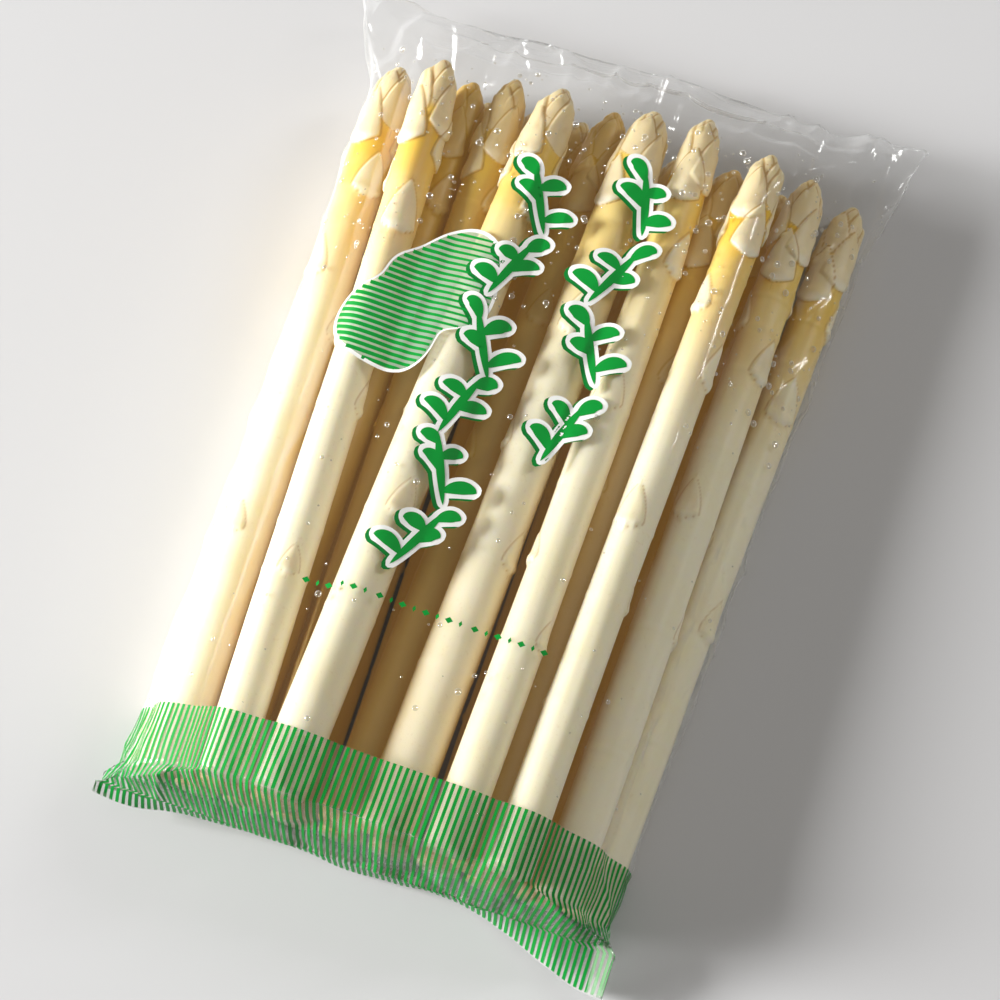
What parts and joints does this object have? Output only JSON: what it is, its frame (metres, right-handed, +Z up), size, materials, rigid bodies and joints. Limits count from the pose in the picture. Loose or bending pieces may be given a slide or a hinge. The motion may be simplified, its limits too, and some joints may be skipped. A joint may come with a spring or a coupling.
{
  "type": "bundle of white asparagus in a film bag",
  "caption": "Bundle of white asparagus spears lying side by side in layers, held together by a clear film bag with a pressed seal and a striped band.",
  "frame": {"origin": "middle of the bag's footprint, on the surface it lies on", "axes": "+Y along the spears from the cut butts to the tips, +X across the bundle, +Z up"},
  "size_m": [0.1868, 0.2766, 0.0504],
  "materials": {
    "spear": "fresh white asparagus: cream stem, yellow neck, beige scale leaves, moist satin skin",
    "film": "clear thin glossy film"
  },
  "bodies": {
    "root": {"spear_bottom_1": "spear", "spear_bottom_2": "spear", "spear_bottom_3": "spear", "spear_bottom_4": "spear", "spear_bottom_5": "spear", "spear_bottom_6": "spear", "spear_bottom_7": "spear", "spear_bottom_8": "spear", "spear_bottom_9": "spear", "spear_bottom_10": "spear", "spear_middle_1": "spear", "spear_middle_2": "spear", "spear_middle_3": "spear", "spear_middle_4": "spear", "spear_middle_5": "spear", "spear_middle_6": "spear", "spear_top_1": "spear", "spear_top_2": "spear", "spear_top_3": "spear", "spear_top_4": "spear", "spear_top_5": "spear", "film_bag": "film"}
  },
  "joints": []
}
